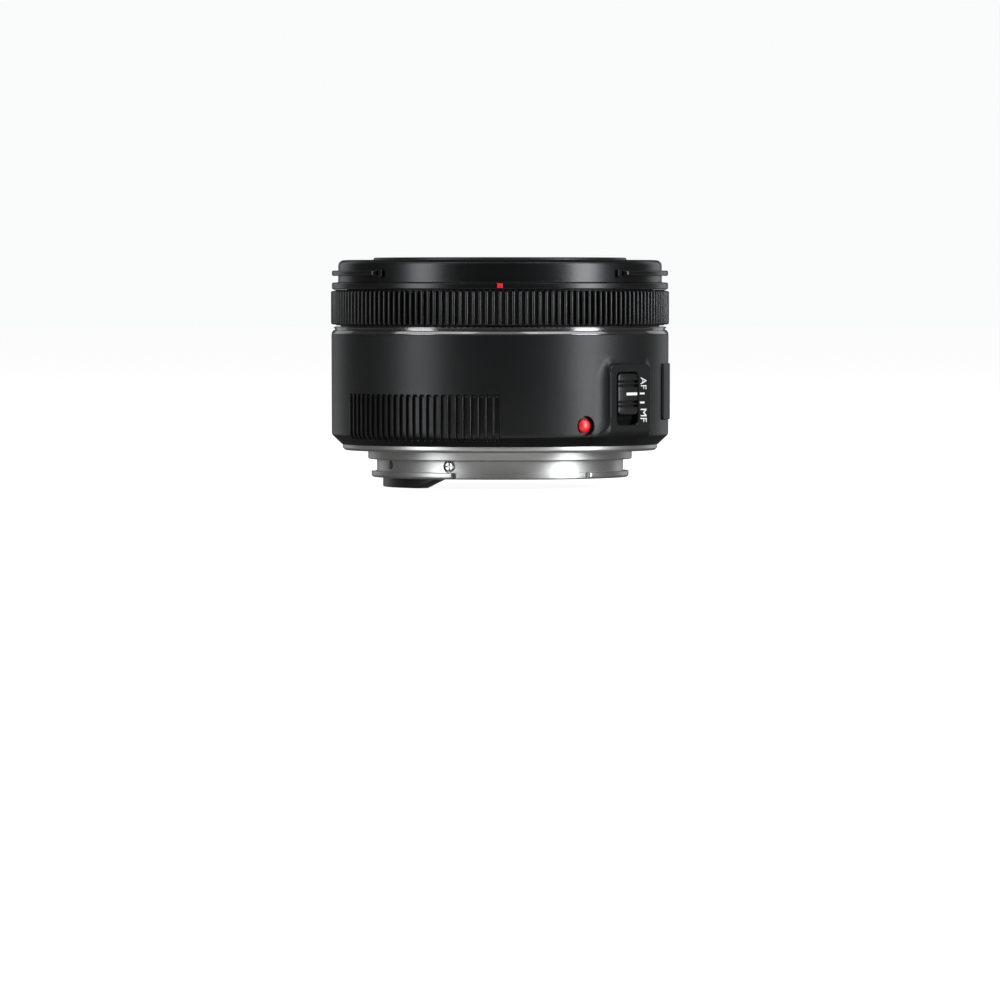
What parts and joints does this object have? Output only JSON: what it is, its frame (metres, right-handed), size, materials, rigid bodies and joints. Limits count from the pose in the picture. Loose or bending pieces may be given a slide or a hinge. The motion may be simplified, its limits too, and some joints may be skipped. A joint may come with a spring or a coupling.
{
  "type": "prime camera lens",
  "caption": "Compact normal prime lens for a reflex camera: bayonet mount with contacts, ribbed focusing ring, mode switch, extending front barrel, glass elements and working diaphragm.",
  "frame": {"origin": "centre of the camera mount's register, in the plane of its seating face", "axes": "+Z along the optical axis towards the subject; -Y is the side with the hood index, +X is to its right as seen from the side, near the mode switch"},
  "size_m": [0.0694, 0.0692, 0.0468],
  "materials": {
    "mount_metal": "fine turned, plated",
    "screw_steel": "bright plated",
    "contact_plastic": "satin black",
    "contact_gold": "gold plated",
    "flex_print": "amber polyimide",
    "shield_black": "flat black",
    "inner_plastic": "glass-filled black",
    "barrel_plastic": "satin black, fine grain",
    "front_plastic": "satin black",
    "plate_dark": "smooth dark",
    "index_red": "glossy red",
    "trim_gloss": "polished black",
    "seal_felt": "black felt",
    "bearing_plastic": "natural acetal",
    "spring_steel": "spring temper",
    "board_green": "solder mask",
    "chip_black": "moulded epoxy",
    "motor_case": "drawn can",
    "gear_brass": "cut brass",
    "gear_plastic": "natural acetal",
    "focus_ring_plastic": "satin black, ribbed",
    "comb_black": "flat black",
    "knob_plastic": "satin black",
    "cam_plastic": "glass-filled dark grey",
    "cell_black": "matt black, anti-reflection",
    "iris_plastic": "flat black",
    "blade_steel": "blackened",
    "glass_front": "coated, faint violet and green",
    "glass_rear": "coated, faint amber"
  },
  "bodies": {
    "barrel": {"bayonet_mount": "mount_metal", "mount_screws": "screw_steel", "contact_block": "contact_plastic", "contact_pins": "contact_gold", "contact_screws": "screw_steel", "contact_flex": "flex_print", "rear_shield": "shield_black", "fixed_barrel": "inner_plastic", "guide_tube": "inner_plastic", "cam_retainer": "inner_plastic", "main_barrel": "barrel_plastic", "name_plate": "plate_dark", "mount_index_dot": "index_red", "trim_ring": "trim_gloss", "front_cover": "barrel_plastic", "cover_screws": "screw_steel", "hood_index": "index_red", "dust_seal": "seal_felt", "bearing_sleeve": "bearing_plastic", "friction_spring": "spring_steel", "main_board": "board_green", "board_chips": "chip_black", "focus_motor": "motor_case", "gear_bracket": "inner_plastic", "gear_axle": "screw_steel", "ring_sensors": "chip_black", "switch_plate": "inner_plastic"},
    "focus_ring": {"focus_ring": "focus_ring_plastic", "encoder_comb": "comb_black"},
    "mode_switch": {"switch_knob": "knob_plastic"},
    "cam_ring": {"cam_ring": "cam_plastic"},
    "reduction_gear": {"reduction_gear": "gear_plastic"},
    "motor_pinion": {"motor_pinion": "gear_brass"},
    "lens_unit": {"front_barrel": "front_plastic", "name_ring": "front_plastic", "lens_carrier": "inner_plastic", "cam_followers": "screw_steel", "lock_ring": "cell_black", "front_cell": "cell_black", "front_retainer": "cell_black", "spacer_ring": "cell_black", "rear_cell": "cell_black", "rear_retainer": "cell_black", "iris_housing": "iris_plastic", "iris_motor": "motor_case", "element_1": "glass_front", "element_2": "glass_front", "element_3": "glass_front", "element_4": "glass_rear", "element_5": "glass_rear", "element_6": "glass_rear"},
    "iris_ring": {"iris_ring": "iris_plastic"},
    "iris_pinion": {"iris_pinion": "gear_brass"},
    "iris_blade_1": {"iris_blade_1": "blade_steel"},
    "iris_blade_2": {"iris_blade_2": "blade_steel"},
    "iris_blade_3": {"iris_blade_3": "blade_steel"},
    "iris_blade_4": {"iris_blade_4": "blade_steel"},
    "iris_blade_5": {"iris_blade_5": "blade_steel"},
    "iris_blade_6": {"iris_blade_6": "blade_steel"},
    "iris_blade_7": {"iris_blade_7": "blade_steel"}
  },
  "joints": [
    {"name": "focus_ring_turn", "type": "hinge", "parent": "barrel", "child": "focus_ring", "pos_m": [0, 0, 0.029], "axis": [0, 0, 1], "continuous": true},
    {"name": "focus_travel", "type": "slide", "parent": "barrel", "child": "lens_unit", "axis": [0, 0, 1], "range_m": [0, 0.0105]},
    {"name": "mode_switch_slide", "type": "slide", "parent": "barrel", "child": "mode_switch", "axis": [0, 0, -1], "range_m": [0, 0.0018]},
    {"name": "cam_ring_turn", "type": "hinge", "parent": "barrel", "child": "cam_ring", "pos_m": [0, 0, 0.012], "axis": [0, 0, 1], "range_deg": [0, 80.5]},
    {"name": "reduction_gear_turn", "type": "hinge", "parent": "barrel", "child": "reduction_gear", "pos_m": [-0.005, 0.02836, 0.005], "axis": [0, 0, 1], "range_deg": [-885, 0]},
    {"name": "motor_pinion_turn", "type": "hinge", "parent": "barrel", "child": "motor_pinion", "pos_m": [-0.00946, 0.029, 0.006], "axis": [0, 0, 1], "range_deg": [0, 1770]},
    {"name": "iris_ring_turn", "type": "hinge", "parent": "lens_unit", "child": "iris_ring", "pos_m": [0, 0, 0.011], "axis": [0, 0, 1], "range_deg": [0, 20]},
    {"name": "iris_pinion_turn", "type": "hinge", "parent": "lens_unit", "child": "iris_pinion", "pos_m": [-0.0183, 0, 0.0115], "axis": [0, 0, 1], "range_deg": [-287, 0]},
    {"name": "iris_blade_1_turn", "type": "hinge", "parent": "lens_unit", "child": "iris_blade_1", "pos_m": [0.0187, 0, 0.0097], "axis": [0, 0, 1], "range_deg": [0, 30.5]},
    {"name": "iris_blade_2_turn", "type": "hinge", "parent": "lens_unit", "child": "iris_blade_2", "pos_m": [0.01166, 0.01462, 0.0097], "axis": [0, 0, 1], "range_deg": [0, 30.5]},
    {"name": "iris_blade_3_turn", "type": "hinge", "parent": "lens_unit", "child": "iris_blade_3", "pos_m": [-0.00416, 0.01823, 0.0097], "axis": [0, 0, 1], "range_deg": [0, 30.5]},
    {"name": "iris_blade_4_turn", "type": "hinge", "parent": "lens_unit", "child": "iris_blade_4", "pos_m": [-0.01685, 0.00811, 0.0097], "axis": [0, 0, 1], "range_deg": [0, 30.5]},
    {"name": "iris_blade_5_turn", "type": "hinge", "parent": "lens_unit", "child": "iris_blade_5", "pos_m": [-0.01685, -0.00811, 0.0097], "axis": [0, 0, 1], "range_deg": [0, 30.5]},
    {"name": "iris_blade_6_turn", "type": "hinge", "parent": "lens_unit", "child": "iris_blade_6", "pos_m": [-0.00416, -0.01823, 0.0097], "axis": [0, 0, 1], "range_deg": [0, 30.5]},
    {"name": "iris_blade_7_turn", "type": "hinge", "parent": "lens_unit", "child": "iris_blade_7", "pos_m": [0.01166, -0.01462, 0.0097], "axis": [0, 0, 1], "range_deg": [0, 30.5]}
  ],
  "couplings": [
    {"joint": "cam_ring_turn", "follows": "focus_travel", "rad_per_m": 132.98},
    {"joint": "reduction_gear_turn", "follows": "focus_travel", "rad_per_m": -1462.8},
    {"joint": "motor_pinion_turn", "follows": "focus_travel", "rad_per_m": 2925.5},
    {"joint": "iris_pinion_turn", "follows": "iris_ring_turn", "ratio": -14.25},
    {"joint": "iris_blade_1_turn", "follows": "iris_ring_turn", "ratio": 1.5},
    {"joint": "iris_blade_2_turn", "follows": "iris_ring_turn", "ratio": 1.5},
    {"joint": "iris_blade_3_turn", "follows": "iris_ring_turn", "ratio": 1.5},
    {"joint": "iris_blade_4_turn", "follows": "iris_ring_turn", "ratio": 1.5},
    {"joint": "iris_blade_5_turn", "follows": "iris_ring_turn", "ratio": 1.5},
    {"joint": "iris_blade_6_turn", "follows": "iris_ring_turn", "ratio": 1.5},
    {"joint": "iris_blade_7_turn", "follows": "iris_ring_turn", "ratio": 1.5}
  ]
}
